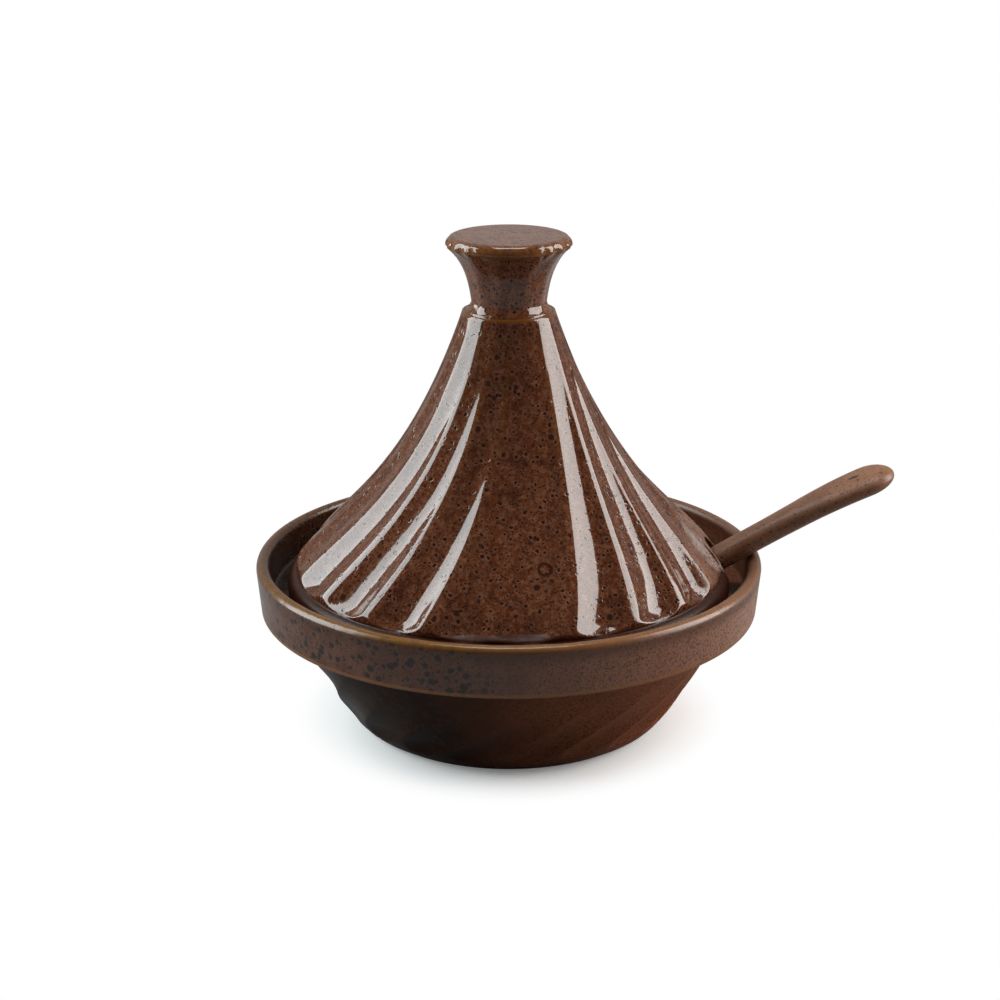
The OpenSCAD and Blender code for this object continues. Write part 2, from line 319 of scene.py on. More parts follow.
def lofted(name, rings, thin):
    """A closed body from rings of points, with a point at each end."""
    rows, sides = rings.shape[:2]
    ends = np.stack([rings[0].mean(0), rings[-1].mean(0)])
    verts = np.concatenate([rings.reshape(-1, 3), ends])
    thin_points = np.concatenate([thin.ravel(), [thin[0].mean(), thin[-1].mean()]])
    first = rows * sides
    faces = []
    for i in range(sides):
        j = (i + 1) % sides
        faces.append((first, j, i))
        last = (rows - 1) * sides
        faces.append((first + 1, last + i, last + j))
    for k in range(rows - 1):
        for i in range(sides):
            j = (i + 1) % sides
            faces.append((k * sides + i, k * sides + j, (k + 1) * sides + j, (k + 1) * sides + i))
    return add_object(name, verts, faces, thin_points)


# ---------------------------------------------------------------- lid


CONE_CURVE = [
    (SHOULDER_R, SHOULDER_Z),
    (SHOULDER_R + 0.37 * OVERHANG, EDGE_Z + 0.313 * CONE_H),
    (SHOULDER_R + 0.825 * OVERHANG, EDGE_Z + 0.216 * CONE_H),
    (EDGE_R + 1.6, EDGE_Z),
]


def lid_outline():
    """Outline of the lid from the knob's middle down the outside and up the inside."""
    knob_top = line((0, TOP_Z), (KNOB_R - KNOB_ROUND, TOP_Z), 12)
    rim = arc((KNOB_R - KNOB_ROUND, KNOB_LIP_Z), KNOB_ROUND, 90, -8, 16)
    rise = KNOB_LIP_Z - WAIST_Z
    groove_r = SHOULDER_R - SHOULDER_LEDGE
    flank = bezier(
        [
            tuple(rim[-1]),
            (WAIST_R + 1.8, WAIST_Z + 0.72 * rise),
            (WAIST_R + 0.7, WAIST_Z + 0.36 * rise),
            (WAIST_R, WAIST_Z),
        ],
        34,
    )
    neck_foot = bezier(
        [
            (WAIST_R, WAIST_Z),
            (WAIST_R + 0.1, SHOULDER_Z + 0.45 * WAIST_H),
            (groove_r, SHOULDER_Z + 0.25),
        ],
        14,
    )
    groove = line((groove_r - 0.1, SHOULDER_Z - 0.25), (SHOULDER_R - 0.35, SHOULDER_Z), 4)
    cone = bezier(CONE_CURVE, 130)
    cone[:, 0] -= 1.6 * (1 - np.clip((cone[:, 1] - EDGE_Z) / 3.2, 0, 1)) ** 2
    land_top = (SKIRT_R, SEAT_Z + SKIRT_LAND)
    skirt = bezier([(EDGE_R, EDGE_Z), (SKIRT_R, EDGE_Z - 0.6), land_top], 14)
    land = line(land_top, (SKIRT_R, SEAT_Z + 1), 6)
    mouth_r = SKIRT_R - LID_WALL
    sole = join(
        arc((SKIRT_R - 1, SEAT_Z + 1), 1, 0, -90, 7),
        line((SKIRT_R - 1, SEAT_Z), (mouth_r + 1, SEAT_Z), 4),
        arc((mouth_r + 1, SEAT_Z + 1), 1, -90, -180, 7),
    )
    inside = inner_cone()
    throat = bezier([(mouth_r, SEAT_Z + 1), (mouth_r, EDGE_Z - 1), tuple(inside[0])], 10)
    roof_z = inside[-1][1]
    roof = bezier([tuple(inside[-1]), (inside[-1][0] * 0.7, roof_z + 3), (0, roof_z + 3)], 10)
    outside = join(knob_top, rim, flank, neck_foot, groove, cone, skirt, land)
    return join(outside, sole, throat, inside, roof)


def inner_cone():
    """The lid's hollow: the cone's outline moved in by the wall, from the mouth up."""
    cone = bezier(CONE_CURVE, 36)
    step = np.gradient(cone, axis=0)
    step /= np.linalg.norm(step, axis=1)[:, None]
    wall = cone + LID_WALL * np.stack([step[:, 1], -step[:, 0]], 1)
    kept = wall[(wall[:, 1] < SHOULDER_Z - LID_TOP_T) & (wall[:, 1] > EDGE_Z + 1)]
    return kept[::-1]


def lid_columns():
    """Columns round the lid: the flutes' own, and closer ones at the sides of the notch."""
    side = math.degrees(notch_half_width() / EDGE_R)
    flutes = flute_columns(LID_PHASE) % 360
    off_middle = np.minimum(flutes, 360 - flutes)
    flutes = flutes[(off_middle < 0.5 * side) | (off_middle > 1.17 * side)]
    beside = np.linspace(0.55 * side, 1.12 * side, 26)
    return np.sort(np.concatenate([flutes, beside, 360 - beside]))


def lid_twist(z):
    """How far round the cone the flutes have swirled at a height, in degrees."""
    rise = np.clip(z, EDGE_Z, SHOULDER_Z) - EDGE_Z
    return LID_SWIRL * rise + LID_SWIRL_EASE * rise**2


def lid_turn(column, z):
    """How far each column has turned at a height; beside the notch it first stands upright."""
    off_notch = np.abs((column + 180) % 360 - 180)
    beside = 1 - smooth((off_notch - UPRIGHT_SIDE) / UPRIGHT_EASE)
    return lid_twist(z) - beside * lid_twist(np.minimum(z, SEAT_Z + UPRIGHT_H))


def notch_half_width():
    """Half the notch's width: the handle and the gap beside it."""
    return HANDLE_W / 2 + NOTCH_GAP


def notch_height(angle, radius):
    """Height of the notch's arch over the seat at each column, 0 beside the notch."""
    y = radius * np.sin(np.radians(angle)) / notch_half_width()
    front = np.cos(np.radians(angle)) > 0
    inside = np.clip(1 - np.abs(y) ** 3.2, 0, 1) ** 0.42
    crest = REST_Z - (REST_X - EDGE_R + 1.2) * math.tan(HANDLE_TILT) + HANDLE_T / 2 + NOTCH_HEAD
    return np.where(front & (np.abs(y) < 1), inside, 0) * (crest - SEAT_Z)


def lid_hollows(column, r, z):
    """Depth of the cone's flutes, in mm, and how sharp their ridges are."""
    u, index = across(column, LID_PHASE)
    heights = by_hand(np.arange(FLUTES), 5, 0.08)
    heights[LOW_RIDGE] = LOW_RIDGE_HEIGHT
    slow = u < LID_VALLEY
    up_wall = np.where(slow, 1 - u / LID_VALLEY, (u - LID_VALLEY) / (1 - LID_VALLEY))
    nearest = np.where(slow, index, (index + 1) % FLUTES)
    rise = wall_rise(up_wall, LID_WALL_CURVE, LID_RIDGE_ROUND) * heights[nearest]
    e = np.clip((EDGE_Z + LID_FLUTE_END + LID_FLUTE_ROUND - z) / LID_FLUTE_ROUND, 0, 1)
    share = np.clip((r - SHOULDER_R) / OVERHANG, 0, 1)
    depth = LID_FLUTE_DEPTH * share**LID_FLUTE_GROWTH * r / EDGE_R
    ridge = rise**6 * (1 - e) * smooth(share / 0.08) * smooth((0.5 - share) / 0.35)
    return depth * hollow(rise, e, LID_HOLLOW_SOFT), ridge


def make_lid():
    """The lid: its outline turned, fluted and nicked, and lifted over the notch."""
    outline = lid_outline()
    column = lid_columns()[None, :]
    r = np.repeat(outline[:, :1], column.shape[1], 1)
    z = np.repeat(outline[:, 1:], column.shape[1], 1)
    lowest = int(np.argmin(outline[:, 1]))
    outside = (np.arange(len(outline)) <= lowest)[:, None]
    arch = notch_height(column, EDGE_R)
    lifted = z + arch * np.clip((SEAT_Z + NOTCH_REACH - z) / NOTCH_REACH, 0, 1)
    angle = column + np.where(outside, lid_turn(column, lifted), 0)

    on_cone = outside & (z <= SHOULDER_Z) & (z >= EDGE_Z)
    cut, ridge = lid_hollows(column, r, z)
    r = r - np.where(on_cone, cut, 0)
    thin = np.where(on_cone, RIDGE_THIN * ridge, 0)

    # Nicks and facets on the knob, deepest at its sides
    side = 0.15 + 0.85 * smooth((np.abs(np.cos(np.radians(angle))) - 0.45) / 0.3)
    nick = side * (1 - np.cos(np.radians(KNOB_NICKS * angle))) / 2
    facet = (1 - np.cos(np.radians(KNOB_NICKS / 2 * angle))) / 2
    near_edge = np.clip(1 - np.abs(z - KNOB_LIP_Z) / KNOB_ROUND, 0, 1) * (r > KNOB_R - KNOB_ROUND)
    on_neck = smooth((z - SHOULDER_Z) / WAIST_H) * (1 - near_edge) * (z < KNOB_LIP_Z)
    cut = KNOB_NICK_DEPTH * near_edge * nick + NECK_FACET_DEPTH * on_neck * facet
    r = r - np.where(outside & (z > SHOULDER_Z), cut, 0)
    worn = smooth(near_edge * 1.2 + 0.35 * (z > KNOB_LIP_Z)) * (near_edge > 0)
    worn = 0.75 * worn * (1 - 0.3 * nick)
    thin = np.maximum(thin, np.where(outside, worn, 0))
    thin = np.maximum(thin, np.where(outside, bump_at(z, SHOULDER_Z, 0.35), 0))

    # The wall stops at the arch of the notch
    r = r_at_height(outline, lowest, r, z, lifted, outside, arch)
    z = lifted
    edge = np.clip(1 - (z - SEAT_Z - arch) / 1.6, 0, 1)
    thin = np.maximum(thin, np.where(outside & (arch > 0.5), 0.6 * edge, 0))
    r = r + np.where(r > 1, waver(angle, z, 11, WAVER), 0)
    return turned("lid_glazed", r, z, angle, thin)


def r_at_height(outline, lowest, r, z, lifted, outside, arch):
    """Radius of the lid's wall at a lifted height, keeping what the flutes took off."""
    start = int(np.argmax(outline[:, 1] <= SHOULDER_Z - 1))
    out_z = outline[start : lowest - 6, 1][::-1]
    out_r = outline[start : lowest - 6, 0][::-1]
    in_z = outline[lowest + 6 : -10, 1]
    in_r = outline[lowest + 6 : -10, 0]
    moved = (arch > 0) & (z < SEAT_Z + NOTCH_REACH)
    shift_out = np.interp(lifted, out_z, out_r) - np.interp(z, out_z, out_r)
    shift_in = np.interp(lifted, in_z, in_r) - np.interp(z, in_z, in_r)
    return r + np.where(moved, np.where(outside, shift_out, shift_in), 0)


# ---------------------------------------------------------------- dish


def bowl_r(z):
    """The bowl's outer radius at a height, before it is fluted."""
    t = np.clip((z - FOOT_H) / (BAND_BOTTOM - FOOT_H), 0, 1)
    return BOWL_FOOT_R + (STEP_R - BOWL_FOOT_R) * t**BOWL_BULGE


def dish_outline():
    """Outline of the dish from the middle of its floor over the lip and down to the foot."""
    corner_z = FLOOR_Z + 0.6 * FLOOR_ROUND
    side_z = np.linspace(corner_z, LEDGE_Z - 1.5, 40)
    slope = (bowl_r(side_z + 1) - bowl_r(side_z - 1)) / 2
    ledge_r = INNER_R - LEDGE_W
    side_r = np.minimum(bowl_r(side_z) - BOWL_WALL * np.sqrt(1 + slope**2), ledge_r)
    side = np.stack([side_r, side_z], 1)
    low = side_r[0]
    floor = line((0, FLOOR_Z), (low - FLOOR_ROUND, FLOOR_Z), 16)
    corner = bezier([tuple(floor[-1]), (low - 0.35 * FLOOR_ROUND, FLOOR_Z), tuple(side[0])], 20)
    ledge_edge = bezier([tuple(side[-1]), (ledge_r, LEDGE_Z), (ledge_r + 1.5, LEDGE_Z)], 8)
    ledge = line((ledge_r + 1.5, LEDGE_Z), (INNER_R - 1.5, LEDGE_Z), 12)
    root = arc((INNER_R - 1.5, LEDGE_Z + 1.5), 1.5, -90, 0, 8)
    inner_wall = line((INNER_R, LEDGE_Z + 1.5), (INNER_R, LIP_Z), 16)
    lip = arc((RIM_R - LIP_R, LIP_Z), LIP_R, 180, 0, 26)
    low_r = RIM_R - BAND_TAPER
    corner_top = (low_r, BAND_BOTTOM + BAND_CORNER_R)
    corner_end = (low_r - BAND_CORNER_R, BAND_BOTTOM)
    band = line((RIM_R, LIP_Z), corner_top, 30)
    band_corner = bezier([corner_top, (low_r, BAND_BOTTOM), corner_end], 8)
    nook_top = (STEP_R + 0.8, BAND_BOTTOM)
    nook_z = BAND_BOTTOM - 1.2
    under = line(corner_end, nook_top, 10)
    nook = bezier([nook_top, (STEP_R - 0.1, BAND_BOTTOM - 0.1), (bowl_r(nook_z), nook_z)], 8)
    bowl_z = np.linspace(nook_z, FOOT_H, 130)
    bowl = np.stack([bowl_r(bowl_z), bowl_z], 1)
    foot = line((BOWL_FOOT_R, FOOT_H), (FOOT_R, 0.3), 6)
    ring = join(
        np.array([(FOOT_R, 0.3), (FOOT_R - 0.3, 0)]),
        line((FOOT_R - 0.3, 0), (FOOT_R - FOOT_RING_W + 0.5, 0), 6),
        np.array([(FOOT_R - FOOT_RING_W + 0.5, 0), (FOOT_R - FOOT_RING_W, FOOT_RECESS)]),
        line((FOOT_R - FOOT_RING_W, FOOT_RECESS), (0, FOOT_RECESS), 10),
    )
    inner = join(floor, corner, side, ledge_edge, ledge, root, inner_wall)
    outer = join(lip, band, band_corner, under, nook, bowl, foot, ring)
    return join(inner, outer)


def make_dish():
    """The dish: its outline turned, with the bowl fluted under the band."""
    outline = dish_outline()
    phase = BOWL_PHASE + BOWL_SWIRL * (BAND_BOTTOM - FOOT_H)
    column = flute_columns(phase)[None, :]
    r = np.repeat(outline[:, :1], column.shape[1], 1)
    z = np.repeat(outline[:, 1:], column.shape[1], 1)
    lip_top = int(np.argmax(outline[:, 1]))
    outside = (np.arange(len(outline)) > lip_top)[:, None]
    twist = BOWL_SWIRL * (np.clip(z, FOOT_H, BAND_BOTTOM) - BAND_BOTTOM)
    angle = column + np.where(outside, twist, 0)

    on_bowl = outside & (z < BAND_BOTTOM) & (z >= FOOT_H)
    u, index = across(column, phase)
    end_z = FOOT_H + BOWL_FLUTE_END
    e = np.clip((end_z + BOWL_FLUTE_ROUND - z) / BOWL_FLUTE_ROUND, 0, 1)
    fade = 1 - smooth((z - end_z) / (BAND_BOTTOM - end_z - 1.5))
    depth = BOWL_FLUTE_DEPTH * fade * by_hand(index, 8, 0.2)
    r = r - np.where(on_bowl, depth * hollow((2 * u - 1) ** 2, e, BOWL_HOLLOW_SOFT), 0)

    # The lip and the band's corner are wiped thinnest in front and on the left
    front = 0.25 + 0.75 * smooth((-0.05 - np.sin(np.radians(angle))) / 0.6)
    left = smooth((0.4 - np.cos(np.radians(angle))) / 0.8)
    lip = np.where(r > INNER_R - 0.5, front * smooth((z - LIP_Z) / 1.2), 0)
    on_corner = outside & (r > RIM_R - BAND_TAPER - 1.4)
    corner = np.where(on_corner, front * left * bump_at(z, BAND_BOTTOM, 0.5), 0)
    foot_line = np.where(outside, bump_at(z, FOOT_H * 0.5, 0.7) * (r > FOOT_R - 1), 0)
    thin = np.maximum(np.maximum(lip, 0.6 * corner), 0.6 * foot_line)
    r = r + np.where((r > 1) & (z > 3), waver(angle, z, 3, WAVER), 0)
    return turned("dish_glazed", r, z, angle, thin)


# ---------------------------------------------------------------- spoon


SIDES = 56


def section(p, slope, w, t, cup):
    """An oval section, w by t, bowed down by cup in its middle."""
    a = np.radians(np.arange(SIDES) * 360 / SIDES)
    y = w / 2 * np.sign(np.cos(a)) * np.abs(np.cos(a)) ** 0.9
    v = t / 2 * np.sin(a) - cup * (1 - (2 * y / w) ** 2)
    return np.stack([p[0] - v * math.sin(slope), y, p[1] + v * math.cos(slope)], 1)


def bend_line(level):
    """Control points of the spoon's bend; level is the height of its corner."""
    x = REST_X - (REST_Z - level) / math.tan(HANDLE_TILT)
    return [
        (x + BEND_UP * math.cos(HANDLE_TILT), level + BEND_UP * math.sin(HANDLE_TILT)),
        (x, level),
        (x - BEND_IN, level + 2),
    ]


def scoop_rings(level):
    """Sections from the start of the bend to the scoop's front edge."""
    bend = bend_line(level)
    steps = 110
    path = bezier(bend, steps + 1)
    slope = np.arctan2(-np.gradient(path[:, 1]), -np.gradient(path[:, 0]))
    run = math.dist(bend[0], bend[1]) + math.dist(bend[1], bend[2])
    rings = []
    for k in range(1, steps + 1):
        s = k / steps
        u = min(max(1 - (1 - s) * run / SCOOP_LEN, 0), 1)
        swell = max(0, math.sin(math.pi * u**0.8)) ** 0.6
        w = NECK_W * (1 - smooth(u * 3)) + SCOOP_W * swell
        t = (HANDLE_T + (SCOOP_T - HANDLE_T) * smooth(u * 2.5)) * (1 - 4 * max(0, u - 0.9))
        cup = SCOOP_DEPTH * swell * smooth(u * 2)
        rings.append(section(path[k], slope[k], max(1.2, w), t, cup))
    return np.array(rings)


def handle_rings(bend_start):
    """Sections from the rounded tip to the start of the bend."""
    length = (REST_X - bend_start[0]) / math.cos(HANDLE_TILT) + HANDLE_OUT
    steps = 150
    rings = []
    for k in range(steps + 1):
        from_tip = length * (k / steps) ** 1.7
        out = HANDLE_OUT - from_tip
        round_end = math.sqrt(max(0, 1 - (1 - min(from_tip / (TIP_W * 0.55), 1)) ** 2))
        wide = smooth(out / (HANDLE_OUT * 0.85))
        slim = smooth(-out / (length - HANDLE_OUT))
        w = HANDLE_W + (TIP_W - HANDLE_W) * wide + (NECK_W - HANDLE_W) * slim
        t = HANDLE_T + (TIP_T - HANDLE_T) * wide
        droop = TIP_DROOP * max(1 - from_tip / DROOP_REACH, 0) ** 2
        p = (REST_X + out * math.cos(HANDLE_TILT), REST_Z + out * math.sin(HANDLE_TILT) - droop)
        rings.append(section(p, HANDLE_TILT, max(0.5, w * round_end), max(0.5, t * round_end), 0))
    return np.array(rings)


def make_spoon():
    """The spoon, let down until its scoop is just off the dish's floor."""
    first = FLOOR_Z + SCOOP_DEPTH
    level = first - scoop_rings(first)[:, :, 2].min() + FLOOR_Z + SEAT_GAP
    scoop = scoop_rings(level)
    handle = handle_rings(bend_line(level)[0])
    rings = np.concatenate([handle, scoop])
    tip = rings[0].mean(0)
    from_tip = np.linalg.norm(rings - tip, axis=2)
    thin = 0.9 * smooth((4.2 - from_tip) / 3)
    return lofted("spoon_glazed", rings, thin)


# ---------------------------------------------------------------- materials

MATH = "ShaderNodeMath"
MIX = "ShaderNodeMix"
STEP = "ShaderNodeMapRange"
NOISE = "ShaderNodeTexNoise"
CELLS = "ShaderNodeTexVoronoi"
VECTOR = "ShaderNodeVectorMath"
SPLIT = "ShaderNodeSeparateXYZ"


def linear(hex_colour):
    """A linear colour from an sRGB hex value."""
    parts = [int(hex_colour[i : i + 2], 16) / 255 for i in (1, 3, 5)]
    return [c / 12.92 if c <= 0.04045 else ((c + 0.055) / 1.055) ** 2.4 for c in parts] + [1]


def add(tree, kind, inputs=(), **settings):
    """Adds a node with its settings; an input takes a value, a socket or another node."""
    node = tree.nodes.new(kind)
    for name, value in settings.items():
        setattr(node, name, value)
    for key, value in inputs.items() if isinstance(inputs, dict) else enumerate(inputs):
        named = [s for s in node.inputs if s.enabled and s.name == key]
        socket = named[0] if named else node.inputs[key]
        if isinstance(value, bpy.types.Node):
            value = next(s for s in value.outputs if s.enabled)
        if isinstance(value, bpy.types.NodeSocket):
            tree.links.new(value, socket)
        else:
            socket.default_value = value
    return node


def new_material(name):
    """A material with an empty node tree, and the point on the piece in mm."""
    material = bpy.data.materials.new(name)
    material.use_nodes = True
    tree = material.node_tree
    tree.nodes.clear()
    point = add(tree, "ShaderNodeTexCoord").outputs["Object"]
    place = add(tree, VECTOR, {0: point, "Scale": 1 / MM}, operation="SCALE")
    return material, tree, place


def thin_glaze(tree, place, size_mm):
    """Where the glaze has run thin, broken up by streaks about size_mm across."""
    thin = add(tree, "ShaderNodeAttribute", attribute_name="thin_glaze").outputs["Fac"]
    streaks = add(tree, NOISE, {"Vector": place, "Scale": 1 / size_mm})
    broken = add(tree, STEP, (streaks, 0.3, 0.6, 0.6, 1.0), interpolation_type="SMOOTHSTEP")
    return add(tree, MATH, (thin, broken), operation="MULTIPLY")


def jostled(tree, place):
    """The point pushed about by up to 0.5 mm, so that specks made there aren't quite round."""
    push = add(tree, NOISE, {"Vector": place, "Scale": 1 / 0.9, "Detail": 1}).outputs["Color"]
    return add(tree, VECTOR, (push, (0.9, 0.9, 0.9), place), operation="MULTIPLY_ADD")


def line_at(tree, value, level, half, fade):
    """1 within half of a level, easing to 0 at fade from it."""
    off = add(tree, MATH, (value, level), operation="SUBTRACT")
    off = add(tree, MATH, [off], operation="ABSOLUTE")
    return add(tree, STEP, (off, fade, half), interpolation_type="SMOOTHSTEP")


def clouds(tree, place, size_mm, low, high):
    """Soft patches about size_mm across; low and high set how much they cover."""
    lumps = add(tree, NOISE, {"Vector": place, "Scale": 1 / size_mm, "Detail": 3, "Roughness": 0.6})
    return add(tree, STEP, (lumps, low, high), interpolation_type="SMOOTHSTEP")


def specks(tree, place, apart, radius, soft, share=1.0):
    """Round specks in a share of the cells, which lie about apart mm from each other."""
    cell = add(tree, CELLS, {"Vector": place, "Scale": 1 / apart})
    chance = add(tree, "ShaderNodeSeparateColor", [cell.outputs["Color"]])
    distance = add(tree, MATH, (cell.outputs["Distance"], apart), operation="MULTIPLY")
    own = add(tree, STEP, (chance.outputs[1], 0, 1, 0.55 * radius, radius))
    outside = add(tree, MATH, (distance, own), operation="SUBTRACT")
    speck = add(tree, STEP, (outside, soft, -soft), interpolation_type="SMOOTHSTEP")
    there = add(tree, MATH, (chance.outputs[0], share), operation="LESS_THAN")
    return add(tree, MATH, (speck, there), operation="MULTIPLY")


def tint(tree, under, colour, where, strength=1.0):
    """Lays a colour over what is under it, as strongly as where says."""
    share = add(tree, MATH, (where, strength), operation="MULTIPLY", use_clamp=True)
    inputs = {"Factor": share, "A": under, "B": linear(colour)}
    return add(tree, MIX, inputs, data_type="RGBA")


def glaze_skin(tree, colour, height, roughness, ior):
    """The glass skin: colour, relief in mm, roughness and refraction."""
    bump = add(tree, "ShaderNodeBump", {"Strength": 1.0, "Distance": MM, "Height": height})
    inputs = {"Base Color": colour, "Roughness": roughness, "IOR": ior, "Normal": bump}
    shader = add(tree, "ShaderNodeBsdfPrincipled", inputs)
    add(tree, "ShaderNodeOutputMaterial", [shader])


def glossy_reactive_glaze():
    """Glossy reactive glaze, dipped and fired on stoneware.

    Thick and runny, it cools to a wet-looking glass with round pits where gas has left it.
    It is red-brown with a mauve bloom, and amber where it has run thin off sharp edges.
    """
    material, tree, place = new_material("glossy_reactive_glaze_on_stoneware")
    split = add(tree, SPLIT, [place])
    right, up = split.outputs["X"], split.outputs["Z"]
    uneven = jostled(tree, place)
    knob = add(tree, STEP, (up, SHOULDER_Z, SHOULDER_Z + 2))
    knob_top = add(tree, STEP, (up, TOP_Z - 1.2, TOP_Z - 0.2))

    # Where it is dull: on the skirt, highest up in front, and beyond a line on the right; the skirt
    # is also painted darker as shade under the cone's edge
    aside = add(tree, MATH, [right], operation="ABSOLUTE")
    drop = add(tree, STEP, (aside, 0, 24, 1.6, 0))
    level = add(tree, MATH, (up, drop), operation="SUBTRACT")
    skirt = add(tree, STEP, (level, EDGE_Z + 0.9, EDGE_Z - 0.2), interpolation_type="SMOOTHSTEP")
    beyond = add(tree, MATH, (up, 0.47, right), operation="MULTIPLY_ADD")
    right_sheen = add(tree, STEP, (beyond, 67.5, 70), interpolation_type="SMOOTHSTEP")
    right_sheen = add(tree, MATH, (right_sheen, knob), operation="SUBTRACT", use_clamp=True)

    # Body: 11 mm clouds and 1.4 mm mottling of the mauve bloom over red-brown
    colour = tint(tree, linear("#5a2f18"), "#6b4029", clouds(tree, place, 11, 0.4, 0.62), 0.5)
    colour = tint(tree, colour, "#602b10", clouds(tree, place, 6, 0.5, 0.68), 0.4)
    colour = tint(tree, colour, "#7d523c", clouds(tree, place, 1.4, 0.48, 0.62), 0.55)
    colour = tint(tree, colour, "#84543f", knob, 0.65)
    colour = tint(tree, colour, "#6b493b", knob_top, 0.8)
    # Beyond the line on the right the paler colour is partly a painted sheen of the right lamp,
    # over a duller skin
    colour = tint(tree, colour, "#8f6650", right_sheen, 0.6)

    # Dark runs 2.6 mm wide where the glaze has flowed down, crystals 0.8 mm apart and a grain
    drawn = add(tree, VECTOR, {0: place, 1: (1, 1, 0.15)}, operation="MULTIPLY")
    colour = tint(tree, colour, "#34170c", clouds(tree, drawn, 2.6, 0.48, 0.66), 0.5)
    crystals = specks(tree, uneven, 0.8, 0.3, 0.1)
    patchy = add(tree, MATH, (crystals, clouds(tree, place, 3.5, 0.25, 0.45)), operation="MULTIPLY")
    colour = tint(tree, colour, "#2c1007", patchy, 0.9)
    colour = tint(tree, colour, "#2c1007", clouds(tree, place, 0.5, 0.5, 0.62), 0.6)

    # Pits up to 1 mm across with a paler rim, some up to 1.7 mm, and a burst bubble in front
    rim = specks(tree, uneven, 1.7, 0.85, 0.15, 0.8)
    pit = specks(tree, uneven, 1.7, 0.52, 0.14, 0.8)
    wide_rim = specks(tree, uneven, 4.0, 1.4, 0.25, 0.8)
    wide_pit = specks(tree, uneven, 4.0, 0.85, 0.3, 0.8)
    from_bubble = add(tree, VECTOR, (place, BUBBLE), operation="DISTANCE").outputs["Value"]
    ring = line_at(tree, from_bubble, BUBBLE_R, 0.1, 0.5)
    core = add(tree, STEP, (from_bubble, 0.9, 0.3), interpolation_type="SMOOTHSTEP")
    colour = tint(tree, colour, "#7d543e", rim, 0.45)
    colour = tint(tree, colour, "#744b38", wide_rim, 0.4)
    colour = tint(tree, colour, "#260e06", wide_pit, 0.9)
    colour = tint(tree, colour, "#200b05", pit, 0.95)
    colour = tint(tree, colour, "#230e07", ring, 0.85)
    colour = tint(tree, colour, "#230e07", core, 0.85)
    # Painted shade on the skirt, in the recess under the cone's edge
    colour = tint(tree, colour, "#2e140c", skirt, 0.85)
    colour = tint(tree, colour, "#734312", thin_glaze(tree, place, 1.6), 0.9)

    # Relief: the run of the glaze is slow and smooth, and the pits barely go in
    height = add(tree, NOISE, {"Vector": place, "Scale": 1 / 7, "Detail": 1})
    height = add(tree, MATH, (height, 0.12), operation="MULTIPLY")
    height = add(tree, MATH, (pit, -0.03, height), operation="MULTIPLY_ADD")
    height = add(tree, MATH, (ring, -0.06, height), operation="MULTIPLY_ADD")
    dull = add(tree, MATH, (right_sheen, skirt), operation="MAXIMUM")
    roughness = add(tree, STEP, (dull, 0, 1, 0.08, 0.36))
    ior = add(tree, STEP, (skirt, 0, 1, 1.52, 1.25))
    glaze_skin(tree, colour, height, roughness, ior)
    return material


